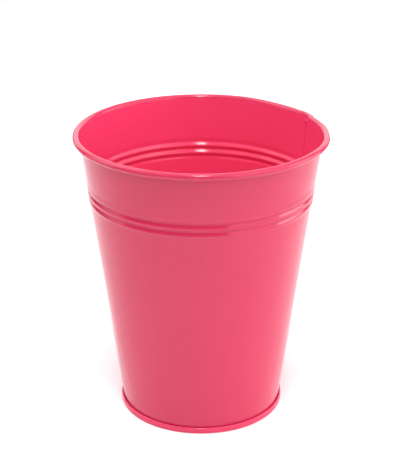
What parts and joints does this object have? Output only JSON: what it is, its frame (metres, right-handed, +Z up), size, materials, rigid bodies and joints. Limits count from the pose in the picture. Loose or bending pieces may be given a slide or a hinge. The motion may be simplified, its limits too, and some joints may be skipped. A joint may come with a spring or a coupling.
{
  "type": "florist bucket",
  "caption": "Tapered sheet-metal cut-flower bucket with a rolled wired rim, swaged beads round its upper wall, a folded side seam and a double-seamed foot ring.",
  "frame": {"origin": "middle of the foot ring, on the surface that the bucket stands on", "axes": "+Z up along the bucket's axis; the side seam lies 25 degrees from +X towards +Y, at the right and slightly behind as seen along +Y"},
  "size_m": [0.2, 0.2, 0.2324],
  "materials": {
    "pink_paint": "satin-gloss pink stove enamel on thin steel sheet",
    "pink_paint_base": "the same pink enamel, a little rubbed on the land it stands on",
    "wire_steel": "drawn zinc-coated wire",
    "sealant": "matt seaming compound"
  },
  "bodies": {
    "root": {"wall_sheet": "pink_paint", "base_pan": "pink_paint_base", "rim_wire": "wire_steel", "base_seam_sealant": "sealant", "side_seam_sealant": "sealant"}
  },
  "joints": []
}
